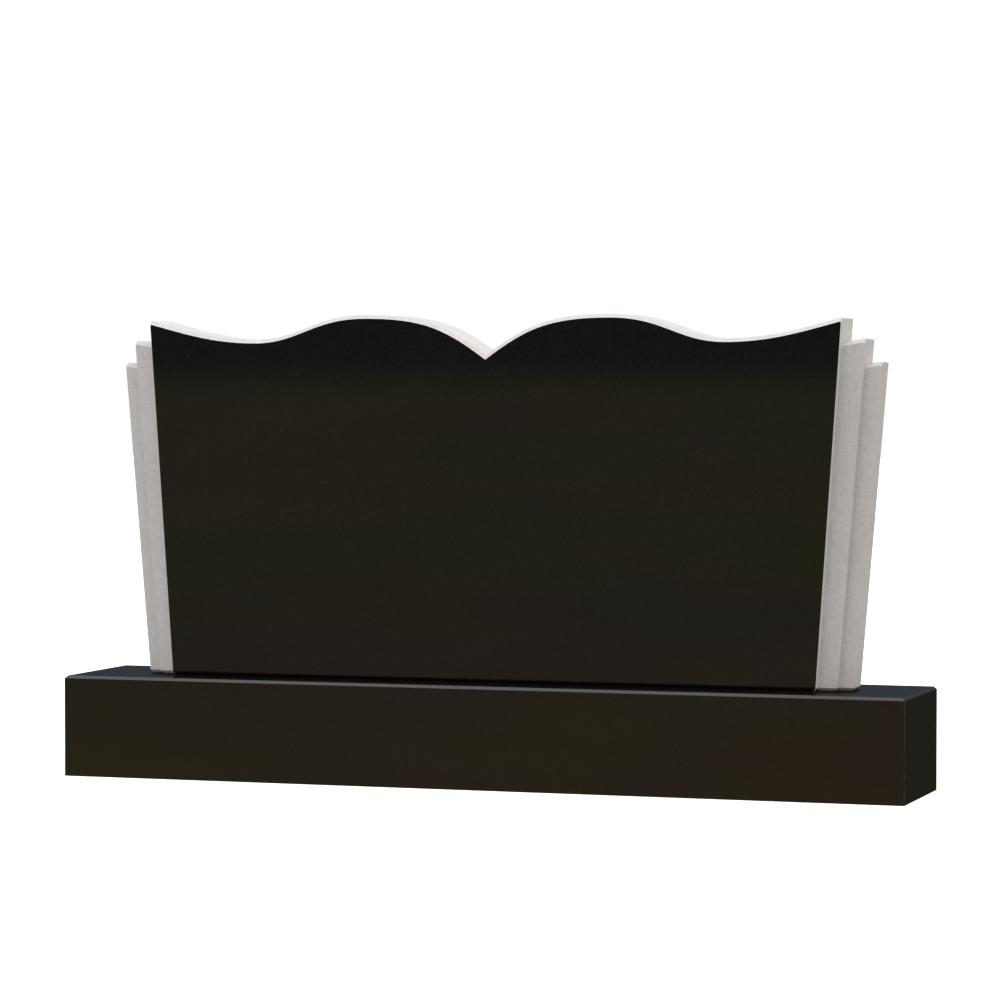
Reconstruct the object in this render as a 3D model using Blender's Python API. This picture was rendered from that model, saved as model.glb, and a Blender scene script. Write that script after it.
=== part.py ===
"""Family gravestone: a broad slab with an open-book top and stepped sides, standing on a long low plinth.

Metres, +Z up, +Y to the back. The origin is on the ground, under the middle of the plinth.
"""

import bmesh
import bpy
from mathutils import Vector
from mathutils.geometry import interpolate_bezier

# Plinth, one rectangular block
PLINTH_LENGTH = 1.750
PLINTH_DEPTH = 0.300
PLINTH_HEIGHT = 0.206
PLINTH_CHAMFER = 0.0055

# Slab, centred on the plinth, with a hairline joint under it
SLAB_THICKNESS = 0.100
FACE_WIDTH_TOP = 1.453
FACE_WIDTH_FOOT = 1.354
CORNER_HEIGHT = 0.726
TOP_CHAMFER = 0.0075
FOOT_CHAMFER = 0.0053
BED_JOINT = 0.0003

# Top edge: two rounded leaves either side of a sharp notch, with heights counted from the upper corners
PEAK_OFFSET = 0.258
PEAK_RISE = 0.009
VALLEY_OFFSET = 0.494
VALLEY_DROP = 0.040
NOTCH_DROP = 0.072
NOTCH_SLOPE = 0.72
CORNER_SLOPE = 0.26

# How far each curve runs straight on from its ends, as a share of the stretch that it spans
PEAK_FULLNESS = 0.475
VALLEY_FULLNESS = 0.39
END_FULLNESS = 0.33
STRETCH_POINTS = 15

# Steps down each side: how far they stand out, how far they lie behind the face, and how far their tops drop
INNER_STEP_WIDTH_TOP = 0.046
INNER_STEP_WIDTH_FOOT = 0.037
INNER_STEP_SETBACK = 0.022
INNER_STEP_DROP = 0.0405
OUTER_STEP_WIDTH_TOP = 0.0325
OUTER_STEP_WIDTH_FOOT = 0.0295
OUTER_STEP_SETBACK = 0.016
OUTER_STEP_DROP = 0.045
STEP_TOP_SLOPE = 0.18

# Which layer of the slab a patch of its front belongs to, counted outwards from the middle
INNER_STEP = 1
OUTER_STEP = 2

# How close two directions are, as the cosine between them
SAME_WAY = 0.99
PARTLY_UP = 0.5

FLAT_ANGLE = 0.0005
WELD_DISTANCE = 0.000001


def clear_scene():
    for item in list(bpy.data.objects):
        bpy.data.objects.remove(item, do_unlink=True)


def stone_material(name, colour, roughness):
    material = bpy.data.materials.new(name)
    material.use_nodes = True
    shader = material.node_tree.nodes["Principled BSDF"]
    shader.inputs["Base Color"].default_value = (*colour, 1.0)
    shader.inputs["Roughness"].default_value = roughness
    shader.inputs["Metallic"].default_value = 0.0
    return material


def add_object(name, shape, materials, location):
    mesh = bpy.data.meshes.new(name)
    shape.to_mesh(mesh)
    shape.free()
    for material in materials:
        mesh.materials.append(material)
    item = bpy.data.objects.new(name, mesh)
    item.location = location
    bpy.context.scene.collection.objects.link(item)
    return item


def chamfer(shape, edges, width):
    bmesh.ops.bevel(
        shape,
        geom=edges,
        offset=width,
        offset_type="OFFSET",
        affect="EDGES",
        segments=1,
        profile=0.5,
        clamp_overlap=False,
        material=-1,
    )


def plinth_shape():
    """A block on the ground whose top arrises are chamfered."""
    shape = bmesh.new()
    bmesh.ops.create_cube(shape, size=1.0)
    bmesh.ops.scale(shape, vec=(PLINTH_LENGTH, PLINTH_DEPTH, PLINTH_HEIGHT), verts=shape.verts)
    bmesh.ops.translate(shape, vec=(0.0, 0.0, PLINTH_HEIGHT / 2), verts=shape.verts)
    top_edges = [edge for edge in shape.edges if all(vert.co.z > PLINTH_HEIGHT / 2 for vert in edge.verts)]
    chamfer(shape, top_edges, PLINTH_CHAMFER)
    return shape


def half_width(foot_width, top_width, height):
    """Half the width, at a height above the foot, of a side that flares from foot to upper corner."""
    return (foot_width + (top_width - foot_width) * height / CORNER_HEIGHT) / 2


def stretch(start, start_slope, start_fullness, end, end_slope, end_fullness):
    """A smooth curve in the XZ plane from start to end, leaving each at its own slope."""
    span = end.x - start.x
    start_handle = start + Vector((1.0, 0.0, start_slope)) * span * start_fullness
    end_handle = end - Vector((1.0, 0.0, end_slope)) * span * end_fullness
    return interpolate_bezier(start, start_handle, end_handle, end, STRETCH_POINTS)


def top_edge():
    """The right half of the top edge, from the notch over the peak and the valley to the upper corner."""
    notch = Vector((0.0, 0.0, CORNER_HEIGHT - NOTCH_DROP))
    peak = Vector((PEAK_OFFSET, 0.0, CORNER_HEIGHT + PEAK_RISE))
    valley = Vector((VALLEY_OFFSET, 0.0, CORNER_HEIGHT - VALLEY_DROP))
    corner = Vector((FACE_WIDTH_TOP / 2, 0.0, CORNER_HEIGHT))
    points = stretch(notch, NOTCH_SLOPE, END_FULLNESS, peak, 0.0, PEAK_FULLNESS)
    points += stretch(peak, 0.0, PEAK_FULLNESS, valley, 0.0, VALLEY_FULLNESS)[1:]
    points += stretch(valley, 0.0, VALLEY_FULLNESS, corner, CORNER_SLOPE, END_FULLNESS)[1:]
    return points


def step_corners(inner_foot, inner_top, outer_foot, outer_top, outer_height):
    """The four corners of the right-hand step between two flaring lines, from its foot round to its top."""
    outer_x = half_width(outer_foot, outer_top, outer_height)
    width = outer_x - half_width(inner_foot, inner_top, outer_height)
    inner_height = outer_height - STEP_TOP_SLOPE * width
    return [
        Vector((inner_foot / 2, 0.0, 0.0)),
        Vector((outer_foot / 2, 0.0, 0.0)),
        Vector((outer_x, 0.0, outer_height)),
        Vector((half_width(inner_foot, inner_top, inner_height), 0.0, inner_height)),
    ]


def slab_outlines():
    """The outlines of the face, of the inner steps and of the outer steps, seen from the front."""
    inner_foot = FACE_WIDTH_FOOT + 2 * INNER_STEP_WIDTH_FOOT
    inner_top = FACE_WIDTH_TOP + 2 * INNER_STEP_WIDTH_TOP
    outer_foot = inner_foot + 2 * OUTER_STEP_WIDTH_FOOT
    outer_top = inner_top + 2 * OUTER_STEP_WIDTH_TOP
    inner_height = CORNER_HEIGHT - INNER_STEP_DROP
    outer_height = inner_height - OUTER_STEP_DROP
    inner_step = step_corners(FACE_WIDTH_FOOT, FACE_WIDTH_TOP, inner_foot, inner_top, inner_height)
    outer_step = step_corners(inner_foot, inner_top, outer_foot, outer_top, outer_height)
    face_half = [inner_step[0], inner_step[3]] + top_edge()[::-1]
    face = face_half + mirrored(face_half[:-1])
    inner_step.insert(2, outer_step[3])
    return [face], [inner_step, mirrored(inner_step)], [outer_step, mirrored(outer_step)]


def mirrored(outline):
    """The same outline on the other side, still running the same way round."""
    return [Vector((-point.x, point.y, point.z)) for point in reversed(outline)]


def lift_forward(shape, faces, distance):
    """Extrudes a flat region towards the front and returns its new faces."""
    region_edges = list(dict.fromkeys(edge for face in faces for edge in face.edges))
    made = bmesh.ops.extrude_face_region(shape, geom=faces + region_edges)["geom"]
    verts = [item for item in made if isinstance(item, bmesh.types.BMVert)]
    bmesh.ops.translate(shape, vec=(0.0, -distance, 0.0), verts=verts)
    return [item for item in made if isinstance(item, bmesh.types.BMFace)]


def slab_shape():
    """The slab on its foot: the whole silhouette at the back, then narrower layers towards the front.

    Only the foremost face is polished, as the second material.
    """
    shape = bmesh.new()
    step_number = shape.faces.layers.int.new("step_number")
    back = SLAB_THICKNESS / 2
    for number, outlines in enumerate(slab_outlines()):
        for outline in outlines:
            face = shape.faces.new([shape.verts.new((point.x, back, point.z)) for point in outline])
            face[step_number] = number
    bmesh.ops.remove_doubles(shape, verts=shape.verts, dist=WELD_DISTANCE)

    outer_front = lift_forward(shape, shape.faces[:], SLAB_THICKNESS - INNER_STEP_SETBACK - OUTER_STEP_SETBACK)
    inner_region = [face for face in outer_front if face[step_number] < OUTER_STEP]
    inner_front = lift_forward(shape, inner_region, OUTER_STEP_SETBACK)
    face_region = [face for face in inner_front if face[step_number] < INNER_STEP]
    lift_forward(shape, face_region, INNER_STEP_SETBACK)

    bmesh.ops.dissolve_limit(shape, angle_limit=FLAT_ANGLE, verts=shape.verts, edges=shape.edges)
    bmesh.ops.recalc_face_normals(shape, faces=shape.faces)
    chamfer(shape, front_top_edges(shape), TOP_CHAMFER)
    chamfer(shape, foot_edges(shape), FOOT_CHAMFER)
    foremost = min(shape.faces, key=lambda face: face.calc_center_median().y)
    foremost.material_index = 1
    return shape


def front_top_edges(shape):
    """Where the face and the fronts of the steps meet the top edge."""
    edges = []
    for edge in shape.edges:
        normals = [face.normal for face in edge.link_faces]
        meets_front = any(normal.y < -SAME_WAY for normal in normals)
        meets_top = any(normal.z > PARTLY_UP for normal in normals)
        if meets_front and meets_top:
            edges.append(edge)
    return edges


def foot_edges(shape):
    """The outline of the underside."""
    edges = []
    for edge in shape.edges:
        downward = [face for face in edge.link_faces if face.normal.z < -SAME_WAY]
        if len(downward) == 1:
            edges.append(edge)
    return edges


clear_scene()
polished_stone = stone_material("polished_black_granite", (0.013, 0.012, 0.009), 0.08)
sawn_stone = stone_material("sawn_grey_granite", (0.36, 0.34, 0.33), 0.75)
add_object("plinth", plinth_shape(), [polished_stone], (0.0, 0.0, 0.0))
add_object("stele", slab_shape(), [sawn_stone, polished_stone], (0.0, 0.0, PLINTH_HEIGHT + BED_JOINT))
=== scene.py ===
from math import radians

import bmesh
import bpy
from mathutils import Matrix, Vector
from mathutils.geometry import interpolate_bezier


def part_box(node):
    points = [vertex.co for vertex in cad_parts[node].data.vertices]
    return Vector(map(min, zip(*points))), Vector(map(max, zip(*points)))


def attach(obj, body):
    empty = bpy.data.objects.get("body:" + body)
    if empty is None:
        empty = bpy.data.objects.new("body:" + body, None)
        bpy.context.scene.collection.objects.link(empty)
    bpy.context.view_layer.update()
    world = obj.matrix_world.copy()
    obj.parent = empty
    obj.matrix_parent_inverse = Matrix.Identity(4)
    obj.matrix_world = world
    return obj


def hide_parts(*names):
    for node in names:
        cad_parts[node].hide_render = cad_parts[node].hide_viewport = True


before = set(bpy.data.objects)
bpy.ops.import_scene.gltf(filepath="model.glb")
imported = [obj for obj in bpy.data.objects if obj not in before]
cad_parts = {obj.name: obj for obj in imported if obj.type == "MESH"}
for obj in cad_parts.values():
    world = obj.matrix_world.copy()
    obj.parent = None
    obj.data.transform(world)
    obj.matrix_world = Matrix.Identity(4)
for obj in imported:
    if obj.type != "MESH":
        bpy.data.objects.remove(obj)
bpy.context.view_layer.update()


# The viewpoint: a long lens standing well back, to the right of the stone and level with the slab's upper
# half. Distances are in metres from the ground under the middle of the plinth.
EYE = (2.4069, -7.1911, 0.8156)
EYE_TURN = radians(18.4007)
EYE_TILT = radians(88.1421)
LENS = 136.0

camera = bpy.data.objects.new("camera", bpy.data.cameras.new("camera"))
camera.data.lens = LENS
camera.location = EYE
camera.rotation_euler = (EYE_TILT, 0.0, EYE_TURN)
bpy.context.scene.collection.objects.link(camera)
bpy.context.scene.camera = camera
bpy.context.scene.view_settings.view_transform = "Standard"


# The studio: a pale floor, a white backdrop, a grey surround that lights the stone and is darkest below, and
# soft boxes above and beside. Polished granite mirrors a dim outdoors instead: brown ground in front, nearly
# black ground behind, and a dull sky above.
BACKDROP = (1.0, 1.0, 1.0, 1.0)
FLOOR_SIZE = 60.0
FLOOR_COLOUR = (0.82, 0.82, 0.81, 1.0)
FLOOR_ROUGHNESS = 0.9
FLOOR_GLOW = 0.80
LIGHT_TARGET = (0.0, 0.0, 0.5)
OVERHEAD_SIZE = (8.0, 6.0)
OVERHEAD_PLACE = (0.4, -0.5, 5.5)
OVERHEAD_POWER = 215.0
SIDE_BOX_SIZE = (3.0, 3.0)
SIDE_BOX_PLACE = (5.5, -1.0, 1.6)
SIDE_BOX_POWERS = {"right": 30.0, "left": 62.0}
SURROUND = (
    (-1.0, (0.15, 0.15, 0.15, 1.0)),
    (-0.35, (0.26, 0.26, 0.26, 1.0)),
    (0.0, (0.80, 0.80, 0.80, 1.0)),
    (0.35, (0.80, 0.80, 0.80, 1.0)),
    (1.0, (1.0, 1.0, 1.0, 1.0)),
)
MIRRORED_GROUND_BEHIND = (0.033, 0.032, 0.021, 1.0)
TURF = (0.225, 0.230, 0.108, 1.0)
EARTH = (0.268, 0.202, 0.146, 1.0)
MIRRORED_GROUND = (
    (-0.60, (0.13, 0.11, 0.08, 1.0)),
    (-0.25, (0.36, 0.24, 0.125, 1.0)),
    (-0.10, (0.36, 0.245, 0.130, 1.0)),
    (-0.070, EARTH),
    (-0.042, TURF),
    (-0.029, EARTH),
    (-0.020, TURF),
    (-0.011, EARTH),
    (-0.004, TURF),
)
GROUND_UNEVENNESS = 0.004
PATCH_FINENESS = (18.0, 18.0, 90.0)
PATCH_TINT = 0.75
MIRRORED_SKY = (
    (0.0, (0.036, 0.043, 0.058, 1.0)),
    (0.12, (0.052, 0.060, 0.075, 1.0)),
    (0.30, (0.17, 0.18, 0.19, 1.0)),
    (1.00, (0.60, 0.62, 0.65, 1.0)),
)
HORIZON_BLUR = 0.003


def node(tree, kind, sockets=(), **settings):
    """Adds a shader node, sets its options, then fills or links its sockets."""
    made = tree.nodes.new("ShaderNode" + kind)
    for name, value in settings.items():
        setattr(made, name, value)
    for name, value in dict(sockets).items():
        if isinstance(value, bpy.types.NodeSocket):
            tree.links.new(value, made.inputs[name])
        else:
            made.inputs[name].default_value = value
    return made


def soft_box(name, size, place, power):
    """A rectangular light aimed at the middle of the slab."""
    lamp = bpy.data.lights.new(name, "AREA")
    lamp.shape = "RECTANGLE"
    lamp.size, lamp.size_y = size
    lamp.energy = power
    holder = bpy.data.objects.new(name, lamp)
    holder.location = place
    aim = Vector(LIGHT_TARGET) - Vector(place)
    holder.rotation_euler = aim.to_track_quat("-Z", "Y").to_euler()
    bpy.context.scene.collection.objects.link(holder)
    return holder


def tone_ramp(tree, level, tones):
    """A colour ramp through (level, colour) pairs, read by a value from -1 to 1."""
    share = node(tree, "MapRange", {"Value": level, "From Min": -1.0, "From Max": 1.0}).outputs["Result"]
    made = node(tree, "ValToRGB", {"Fac": share})
    stops = made.color_ramp.elements
    stops.remove(stops[1])
    for index, (height, colour) in enumerate(tones):
        position = height / 2 + 0.5
        stop = stops[0] if index == 0 else stops.new(position)
        stop.position = position
        stop.color = colour
    return made.outputs["Color"]


studio = bpy.data.worlds.new("studio")
bpy.context.scene.world = studio
studio.use_nodes = True
tree = studio.node_tree
tree.nodes.clear()
outward = node(tree, "TexCoord").outputs["Generated"]
direction = node(tree, "SeparateXYZ", {"Vector": outward})
in_front = node(
    tree,
    "MapRange",
    {"Value": direction.outputs["Y"], "From Min": 0.5, "From Max": -0.5},
    interpolation_type="SMOOTHSTEP",
)
level_patches = node(tree, "Mapping", {"Vector": outward, "Scale": PATCH_FINENESS})
patches = node(tree, "TexNoise", {"Vector": level_patches.outputs["Vector"], "Scale": 1.0, "Detail": 3.0})
unevenness = node(
    tree,
    "MapRange",
    {
        "Value": patches.outputs["Fac"],
        "From Min": 0.3,
        "From Max": 0.7,
        "To Min": -GROUND_UNEVENNESS,
        "To Max": GROUND_UNEVENNESS,
    },
)
ground_level = node(
    tree, "Math", {0: direction.outputs["Z"], 1: unevenness.outputs["Result"]}, operation="ADD"
)
ground_tones = tone_ramp(tree, ground_level.outputs[0], MIRRORED_GROUND)
tint = node(
    tree,
    "VectorMath",
    {0: patches.outputs["Color"], 1: (PATCH_TINT,) * 3, 2: (1.0 - PATCH_TINT / 2,) * 3},
    operation="MULTIPLY_ADD",
)
patchy_ground = node(tree, "VectorMath", {0: ground_tones, 1: tint.outputs["Vector"]}, operation="MULTIPLY")
sky_tones = tone_ramp(tree, direction.outputs["Z"], MIRRORED_SKY)
surround_tones = tone_ramp(tree, direction.outputs["Z"], SURROUND)
above = node(
    tree, "MapRange", {"Value": direction.outputs["Z"], "From Min": -HORIZON_BLUR, "From Max": HORIZON_BLUR}
)
ground = node(
    tree,
    "Mix",
    {0: in_front.outputs["Result"], 6: MIRRORED_GROUND_BEHIND, 7: patchy_ground.outputs["Vector"]},
    data_type="RGBA",
)
mirrored = node(
    tree, "Mix", {0: above.outputs["Result"], 6: ground.outputs[2], 7: sky_tones}, data_type="RGBA"
)
ray = node(tree, "LightPath").outputs
lighting = node(
    tree, "Mix", {0: ray["Is Glossy Ray"], 6: surround_tones, 7: mirrored.outputs[2]}, data_type="RGBA"
)
seen = node(tree, "Mix", {0: ray["Is Camera Ray"], 6: lighting.outputs[2], 7: BACKDROP}, data_type="RGBA")
surround = node(tree, "Background", {"Color": seen.outputs[2]})
node(tree, "OutputWorld", {"Surface": surround.outputs["Background"]})

soft_box("overhead_soft_box", OVERHEAD_SIZE, OVERHEAD_PLACE, OVERHEAD_POWER)
for side, across in (("right", 1), ("left", -1)):
    place = (across * SIDE_BOX_PLACE[0], *SIDE_BOX_PLACE[1:])
    side_box = soft_box(side + "_soft_box", SIDE_BOX_SIZE, place, SIDE_BOX_POWERS[side])
    side_box.visible_glossy = False

sweep = bmesh.new()
bmesh.ops.create_grid(sweep, x_segments=1, y_segments=1, size=FLOOR_SIZE / 2)
floor_mesh = bpy.data.meshes.new("floor")
sweep.to_mesh(floor_mesh)
sweep.free()
floor = bpy.data.objects.new("floor", floor_mesh)
bpy.context.scene.collection.objects.link(floor)
floor.visible_glossy = False
floor.visible_diffuse = False
floor_paint = bpy.data.materials.new("floor_paint")
floor_paint.use_nodes = True
paint = floor_paint.node_tree.nodes["Principled BSDF"]
paint.inputs["Base Color"].default_value = FLOOR_COLOUR
paint.inputs["Roughness"].default_value = FLOOR_ROUGHNESS
paint.inputs["Emission Color"].default_value = BACKDROP
paint.inputs["Emission Strength"].default_value = FLOOR_GLOW
floor_mesh.materials.append(floor_paint)


# The plinth: one long block of black granite, polished on its top and all its sides, that lies on the ground.
# It is sawn to size, its top arrises are ground to a broad chamfer and the upright ones are only eased.
PLINTH_CHAMFER = 0.0055
PLINTH_ARRIS = 0.0005
POLISHED_DARK = (0.0050, 0.0047, 0.0035, 1.0)
POLISHED_LIGHT = (0.0110, 0.0104, 0.0078, 1.0)
POLISHED_CRYSTALS_PER_METRE = 520.0
MICA = (0.0155, 0.0147, 0.0122, 1.0)
MICA_SHARE = 0.008
WORN_ARRIS = (0.10, 0.095, 0.088, 1.0)
SHALLOW_BEND = radians(12.0)


def group(name, inputs, outputs):
    """A new shader node group with float or vector inputs and float outputs."""
    made = bpy.data.node_groups.new(name, "ShaderNodeTree")
    for label, kind, value in inputs:
        socket = made.interface.new_socket(label, in_out="INPUT", socket_type=kind)
        if value is not None:
            socket.default_value = value
    for label in outputs:
        made.interface.new_socket(label, in_out="OUTPUT", socket_type="NodeSocketFloat")
    return made, made.nodes.new("NodeGroupInput").outputs, made.nodes.new("NodeGroupOutput").inputs


def stone_crystals():
    """Granite crystals: a tone for each crystal, a cloudy drift, rare flecks, and a height."""
    made, given, result = group(
        "stone_crystals",
        [
            ("Vector", "NodeSocketVector", None),
            ("Crystals per metre", "NodeSocketFloat", 400.0),
            ("Fleck share", "NodeSocketFloat", 0.03),
        ],
        ["Tone", "Cloud", "Fleck", "Height"],
    )
    crystals = node(
        made,
        "TexVoronoi",
        {"Vector": given["Vector"], "Scale": given["Crystals per metre"], "Randomness": 1.0},
        feature="F1",
    )
    channels = node(made, "SeparateColor", {"Color": crystals.outputs["Color"]})
    edge = node(made, "Math", {0: 1.0, 1: given["Fleck share"]}, operation="SUBTRACT")
    fleck = node(made, "Math", {0: channels.outputs["Green"], 1: edge.outputs[0]}, operation="GREATER_THAN")
    cloud = node(made, "TexNoise", {"Vector": given["Vector"], "Scale": 9.0, "Detail": 5.0, "Roughness": 0.6})
    bumps = node(
        made, "TexNoise", {"Vector": given["Vector"], "Scale": given["Crystals per metre"], "Detail": 3.0}
    )
    links = made.links
    links.new(channels.outputs["Red"], result["Tone"])
    links.new(cloud.outputs["Fac"], result["Cloud"])
    links.new(fleck.outputs[0], result["Fleck"])
    links.new(bumps.outputs["Fac"], result["Height"])
    return made


def arris_wear():
    """How rubbed the stone is: the faces marked as arrises, broken up into short nicked runs."""
    made, given, result = group(
        "arris_wear",
        [("Vector", "NodeSocketVector", None), ("Amount", "NodeSocketFloat", 1.0)],
        ["Wear"],
    )
    marked = node(made, "Attribute", attribute_name="arris")
    nicks = node(made, "TexNoise", {"Vector": given["Vector"], "Scale": 90.0, "Detail": 4.0})
    broken = node(
        made, "MapRange", {"Value": nicks.outputs["Fac"], "From Min": 0.35, "From Max": 0.65, "To Min": 0.3}
    )
    worn = node(made, "Math", {0: marked.outputs["Fac"], 1: broken.outputs["Result"]}, operation="MULTIPLY")
    scaled = node(made, "Math", {0: worn.outputs[0], 1: given["Amount"]}, operation="MULTIPLY")
    made.links.new(scaled.outputs[0], result["Wear"])
    return made


crystals_group = stone_crystals()
wear_group = arris_wear()


def new_material(name):
    """A material with its Principled shader, and the piece's own object coordinates."""
    made = bpy.data.materials.new(name)
    made.use_nodes = True
    shader = made.node_tree.nodes["Principled BSDF"]
    place = node(made.node_tree, "TexCoord").outputs["Object"]
    return made, made.node_tree, shader, place


def polished_granite():
    """Near-black granite under a mirror polish, faintly brown, with fine mica just showing in it."""
    made, tree, shader, place = new_material("polished_black_granite")
    crystals = node(tree, "Group", node_tree=crystals_group)
    tree.links.new(place, crystals.inputs["Vector"])
    crystals.inputs["Crystals per metre"].default_value = POLISHED_CRYSTALS_PER_METRE
    crystals.inputs["Fleck share"].default_value = MICA_SHARE
    wear = node(tree, "Group", node_tree=wear_group)
    tree.links.new(place, wear.inputs["Vector"])
    ground = node(
        tree,
        "Mix",
        {0: crystals.outputs["Tone"], 6: POLISHED_DARK, 7: POLISHED_LIGHT},
        data_type="RGBA",
    )
    flecked = node(
        tree, "Mix", {0: crystals.outputs["Fleck"], 6: ground.outputs[2], 7: MICA}, data_type="RGBA"
    )
    rubbed = node(
        tree, "Mix", {0: wear.outputs["Wear"], 6: flecked.outputs[2], 7: WORN_ARRIS}, data_type="RGBA"
    )
    tree.links.new(rubbed.outputs[2], shader.inputs["Base Color"])
    gloss = node(
        tree, "MapRange", {"Value": crystals.outputs["Cloud"], "To Min": 0.02, "To Max": 0.045}
    )
    dulled = node(
        tree, "Math", {0: wear.outputs["Wear"], 1: 0.25, 2: gloss.outputs["Result"]}, operation="MULTIPLY_ADD"
    )
    tree.links.new(dulled.outputs[0], shader.inputs["Roughness"])
    relief = node(
        tree, "Bump", {"Height": crystals.outputs["Cloud"], "Strength": 0.02, "Distance": 0.002}
    )
    tree.links.new(relief.outputs["Normal"], shader.inputs["Normal"])
    shader.inputs["Metallic"].default_value = 0.0
    shader.inputs["IOR"].default_value = 1.5
    return made


def add_piece(name, shape, materials):
    """Puts a finished bmesh into the scene at the origin, smooth only across its shallow bends."""
    mesh = bpy.data.meshes.new(name)
    shape.to_mesh(mesh)
    shape.free()
    for polygon in mesh.polygons:
        polygon.use_smooth = True
    mesh.set_sharp_from_angle(angle=SHALLOW_BEND)
    for material in materials:
        mesh.materials.append(material)
    piece = bpy.data.objects.new(name, mesh)
    bpy.context.scene.collection.objects.link(piece)
    return piece


def bevel_edges(shape, edges, width, segments):
    """Grinds edges down and returns the new faces."""
    return bmesh.ops.bevel(
        shape,
        geom=edges,
        offset=width,
        offset_type="OFFSET",
        affect="EDGES",
        segments=segments,
        profile=0.5,
        clamp_overlap=False,
        material=-1,
    )["faces"]


def ease_arrises(shape, width, sharpest=radians(60.0)):
    """Rounds every sharp outward edge a little and marks the new faces as arrises."""
    mark = shape.faces.layers.float.get("arris") or shape.faces.layers.float.new("arris")
    shape.normal_update()
    sharp = [edge for edge in shape.edges if edge.is_manifold and edge.calc_face_angle_signed() > sharpest]
    for face in bevel_edges(shape, sharp, width, 2):
        face[mark] = 1.0


polished = polished_granite()

plinth_low, plinth_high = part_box("plinth")
plinth_size = plinth_high - plinth_low
block = bmesh.new()
bmesh.ops.create_cube(block, size=1.0)
bmesh.ops.scale(block, vec=plinth_size, verts=block.verts)
bmesh.ops.translate(block, vec=(plinth_low + plinth_high) / 2, verts=block.verts)
top_edges = [edge for edge in block.edges if all(vert.co.z > plinth_size.z / 2 for vert in edge.verts)]
bevel_edges(block, top_edges, PLINTH_CHAMFER, 1)
ease_arrises(block, PLINTH_ARRIS)
plinth = add_piece("plinth_block", block, [polished])
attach(plinth, "root")
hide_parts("plinth")


# The slab: one upright plate of the same granite with a mirror-polished face, its edges and back left sawn
# and grey. The open-book top and the two steps down each side are cut into the one stone, which stands
# bedded on the plinth.
FACE_WIDTH_TOP = 1.453
FACE_WIDTH_FOOT = 1.354
CORNER_HEIGHT = 0.726
TOP_CHAMFER = 0.0075
FOOT_CHAMFER = 0.0053
SIDE_TOP_CHAMFER = 0.0025
SLAB_ARRIS = 0.0004

PEAK_OFFSET, PEAK_RISE = 0.258, 0.009
VALLEY_OFFSET, VALLEY_DROP = 0.494, 0.040
NOTCH_DROP, NOTCH_SLOPE = 0.072, 0.72
CORNER_SLOPE = 0.26
PEAK_FULLNESS, VALLEY_FULLNESS, END_FULLNESS = 0.475, 0.39, 0.33
CURVE_POINTS = 32

INNER_STEP_WIDTHS = (0.037, 0.046)
OUTER_STEP_WIDTHS = (0.0295, 0.0325)
INNER_STEP_SETBACK, OUTER_STEP_SETBACK = 0.022, 0.016
INNER_STEP_DROP, OUTER_STEP_DROP = 0.0405, 0.045
STEP_TOP_SLOPE = 0.18
LEAF, INNER_STEP, OUTER_STEP = 0, 1, 2

# How far a face leans towards a direction, as the cosine between them
SAME_WAY = 0.99
SIDEWAYS = 0.9
UPWARD = 0.5
DOWNWARD = 0.3

FACE_DEPTH = 0.001
FLAT_ANGLE = 0.0005
WELD_DISTANCE = 1e-6

SAWN_DARK = (0.49, 0.468, 0.452, 1.0)
SAWN_LIGHT = (0.72, 0.688, 0.664, 1.0)
DARK_MINERAL = (0.52, 0.497, 0.48, 1.0)
DARK_MINERAL_SHARE = 0.02
SAWN_CRYSTALS_PER_METRE = 330.0
CLUSTER_SHARE = 0.55
STREAK_SHARE = 0.35
CLOUD_SHARE = 0.35
BLACK = (0.0, 0.0, 0.0, 1.0)

# Painted shade: how much darker the sawn stone is drawn in the polished stone's mirror image of it, so the
# ledge shows dark below the grey sides
MIRROR_PAINTED_SHADE = 0.85
FRESH_ARRIS = (0.72, 0.69, 0.67, 1.0)


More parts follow.
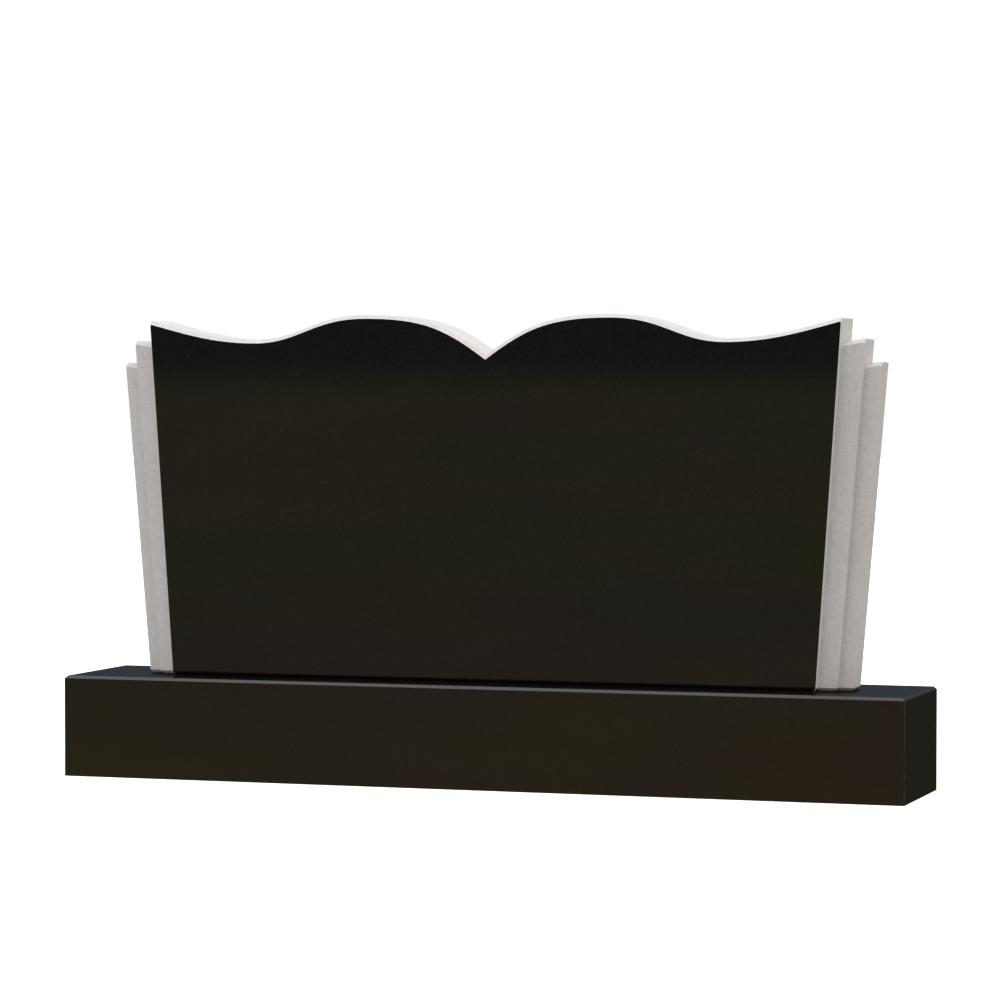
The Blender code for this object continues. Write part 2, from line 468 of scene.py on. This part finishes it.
def sawn_granite():
    """The same granite left off the saw: pale grey, matt, mottled by its crystals and streaked by the cut,
    with painted shade where polished stone mirrors it.
    """
    made, tree, shader, place = new_material("sawn_grey_granite")
    crystals = node(tree, "Group", node_tree=crystals_group)
    tree.links.new(place, crystals.inputs["Vector"])
    crystals.inputs["Crystals per metre"].default_value = SAWN_CRYSTALS_PER_METRE
    crystals.inputs["Fleck share"].default_value = DARK_MINERAL_SHARE
    wear = node(tree, "Group", node_tree=wear_group)
    tree.links.new(place, wear.inputs["Vector"])
    stretched = node(tree, "Mapping", {"Vector": place, "Scale": (1.0, 1.0, 0.08)})
    streaks = node(
        tree, "TexNoise", {"Vector": stretched.outputs["Vector"], "Scale": 160.0, "Detail": 3.0}
    )
    clusters = node(tree, "TexNoise", {"Vector": place, "Scale": 120.0, "Detail": 2.0, "Roughness": 0.6})
    spread = node(tree, "MapRange", {"Value": clusters.outputs["Fac"], "From Min": 0.33, "From Max": 0.67})
    grain = node(
        tree,
        "Mix",
        {0: CLUSTER_SHARE, 2: crystals.outputs["Tone"], 3: spread.outputs["Result"]},
        data_type="FLOAT",
    )
    mottle = node(
        tree, "Mix", {0: STREAK_SHARE, 2: grain.outputs[0], 3: streaks.outputs["Fac"]}, data_type="FLOAT"
    )
    drift = node(
        tree, "Mix", {0: CLOUD_SHARE, 2: mottle.outputs[0], 3: crystals.outputs["Cloud"]}, data_type="FLOAT"
    )
    ground = node(tree, "Mix", {0: drift.outputs[0], 6: SAWN_DARK, 7: SAWN_LIGHT}, data_type="RGBA")
    speckled = node(
        tree, "Mix", {0: crystals.outputs["Fleck"], 6: ground.outputs[2], 7: DARK_MINERAL}, data_type="RGBA"
    )
    rubbed = node(
        tree, "Mix", {0: wear.outputs["Wear"], 6: speckled.outputs[2], 7: FRESH_ARRIS}, data_type="RGBA"
    )
    # Painted shade: to a mirror ray the sawn stone is darkened towards black, in place of the shade the ledge
    # shows under it
    in_mirror = node(tree, "LightPath").outputs["Is Glossy Ray"]
    mirror_painted_shade = node(tree, "Math", {0: in_mirror, 1: MIRROR_PAINTED_SHADE}, operation="MULTIPLY")
    shown = node(tree, "Mix", {0: mirror_painted_shade.outputs[0], 6: rubbed.outputs[2], 7: BLACK}, data_type="RGBA")
    tree.links.new(shown.outputs[2], shader.inputs["Base Color"])
    dull = node(tree, "MapRange", {"Value": crystals.outputs["Tone"], "To Min": 0.7, "To Max": 0.9})
    tree.links.new(dull.outputs["Result"], shader.inputs["Roughness"])
    rough = node(tree, "Bump", {"Height": crystals.outputs["Height"], "Strength": 0.35, "Distance": 0.001})
    tree.links.new(rough.outputs["Normal"], shader.inputs["Normal"])
    shader.inputs["Metallic"].default_value = 0.0
    return made


def half_width(widths, height):
    """Half the width, at a height above the foot, of a flaring side with these widths at foot and corner."""
    foot_width, top_width = widths
    return (foot_width + (top_width - foot_width) * height / CORNER_HEIGHT) / 2


def leaf_curve(start, start_slope, start_fullness, end, end_slope, end_fullness):
    """A smooth stretch of the top edge that leaves both its ends at their own slopes."""
    span = end.x - start.x
    start_handle = start + Vector((1.0, 0.0, start_slope)) * span * start_fullness
    end_handle = end - Vector((1.0, 0.0, end_slope)) * span * end_fullness
    return interpolate_bezier(start, start_handle, end_handle, end, CURVE_POINTS)


slab_low, slab_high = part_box("stele")
thickness = slab_high.y - slab_low.y
face_widths = (FACE_WIDTH_FOOT, FACE_WIDTH_TOP)
inner_widths = tuple(width + 2 * step for width, step in zip(face_widths, INNER_STEP_WIDTHS))
outer_widths = tuple(width + 2 * step for width, step in zip(inner_widths, OUTER_STEP_WIDTHS))
inner_top = CORNER_HEIGHT - INNER_STEP_DROP
outer_top = inner_top - OUTER_STEP_DROP
inner_reach = half_width(inner_widths, inner_top) - half_width(face_widths, inner_top)
outer_reach = half_width(outer_widths, outer_top) - half_width(inner_widths, outer_top)
inner_slope_foot = inner_top - STEP_TOP_SLOPE * inner_reach
outer_slope_foot = outer_top - STEP_TOP_SLOPE * outer_reach

slab = bmesh.new()
step = slab.faces.layers.int.new("step")


def corner(widths, height):
    """A corner of the outline on one of the three flaring sides, on the back of the slab."""
    return slab.verts.new((half_width(widths, height), slab_high.y, slab_low.z + height))


notch = Vector((0.0, 0.0, CORNER_HEIGHT - NOTCH_DROP))
peak = Vector((PEAK_OFFSET, 0.0, CORNER_HEIGHT + PEAK_RISE))
valley = Vector((VALLEY_OFFSET, 0.0, CORNER_HEIGHT - VALLEY_DROP))
upper_corner = Vector((FACE_WIDTH_TOP / 2, 0.0, CORNER_HEIGHT))
top_line = leaf_curve(notch, NOTCH_SLOPE, END_FULLNESS, peak, 0.0, PEAK_FULLNESS)
top_line += leaf_curve(peak, 0.0, PEAK_FULLNESS, valley, 0.0, VALLEY_FULLNESS)[1:]
top_line += leaf_curve(valley, 0.0, VALLEY_FULLNESS, upper_corner, CORNER_SLOPE, END_FULLNESS)[1:]

middle_foot = slab.verts.new((0.0, slab_high.y, slab_low.z))
face_foot = corner(face_widths, 0.0)
inner_foot = corner(inner_widths, 0.0)
outer_foot = corner(outer_widths, 0.0)
inner_root = corner(face_widths, inner_slope_foot)
inner_tip = corner(inner_widths, inner_top)
outer_root = corner(inner_widths, outer_slope_foot)
outer_tip = corner(outer_widths, outer_top)
top_verts = [slab.verts.new((point.x, slab_high.y, slab_low.z + point.z)) for point in top_line]
leaf = slab.faces.new([middle_foot, face_foot, inner_root] + top_verts[::-1])
inner_step = slab.faces.new([face_foot, inner_foot, outer_root, inner_tip, inner_root])
outer_step = slab.faces.new([inner_foot, outer_foot, outer_tip, outer_root])
leaf[step], inner_step[step], outer_step[step] = LEAF, INNER_STEP, OUTER_STEP
bmesh.ops.mirror(slab, geom=slab.verts[:] + slab.edges[:] + slab.faces[:], merge_dist=WELD_DISTANCE, axis="X")
middle = [edge for edge in slab.edges if all(abs(vert.co.x) < WELD_DISTANCE for vert in edge.verts)]
bmesh.ops.dissolve_edges(slab, edges=middle, use_verts=False)


def lift_forward(faces, distance):
    """Extrudes a flat region of the slab towards the front and returns its new faces."""
    region_edges = list(dict.fromkeys(edge for face in faces for edge in face.edges))
    made = bmesh.ops.extrude_face_region(slab, geom=faces + region_edges)["geom"]
    moved = [item for item in made if isinstance(item, bmesh.types.BMVert)]
    bmesh.ops.translate(slab, vec=(0.0, -distance, 0.0), verts=moved)
    return [item for item in made if isinstance(item, bmesh.types.BMFace)]


whole_front = lift_forward(slab.faces[:], thickness - INNER_STEP_SETBACK - OUTER_STEP_SETBACK)
inner_front = lift_forward([face for face in whole_front if face[step] < OUTER_STEP], OUTER_STEP_SETBACK)
lift_forward([face for face in inner_front if face[step] < INNER_STEP], INNER_STEP_SETBACK)
bmesh.ops.dissolve_limit(slab, angle_limit=FLAT_ANGLE, verts=slab.verts, edges=slab.edges)
bmesh.ops.recalc_face_normals(slab, faces=slab.faces)

top_arrises, foot_arrises = [], []
for edge in slab.edges:
    normals = [face.normal for face in edge.link_faces]
    if any(normal.y < -SAME_WAY for normal in normals) and any(normal.z > UPWARD for normal in normals):
        top_arrises.append(edge)
    if sum(normal.z < -SAME_WAY for normal in normals) == 1:
        foot_arrises.append(edge)
bevel_edges(slab, top_arrises, TOP_CHAMFER, 1)
foot_arrises = [edge for edge in foot_arrises if edge.is_valid]
bevel_edges(slab, foot_arrises, FOOT_CHAMFER, 1)
side_top_arrises = []
for edge in slab.edges:
    normals = [face.normal for face in edge.link_faces]
    meets_top = any(normal.z > UPWARD for normal in normals)
    meets_side = any(abs(normal.x) > SIDEWAYS for normal in normals)
    if meets_top and meets_side and edge.calc_face_angle_signed() > 0.0:
        side_top_arrises.append(edge)
bevel_edges(slab, side_top_arrises, SIDE_TOP_CHAMFER, 1)
ease_arrises(slab, SLAB_ARRIS)
for face in slab.faces:
    middle_point = face.calc_center_median()
    on_face = face.normal.y < -SAME_WAY and middle_point.y < slab_low.y + FACE_DEPTH
    under_face = face.normal.z < -DOWNWARD and middle_point.y < slab_low.y + FOOT_CHAMFER
    face.material_index = 1 if on_face or under_face else 0

slab_piece = add_piece("open_book_slab", slab, [sawn_granite(), polished])
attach(slab_piece, "root")
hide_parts("stele")
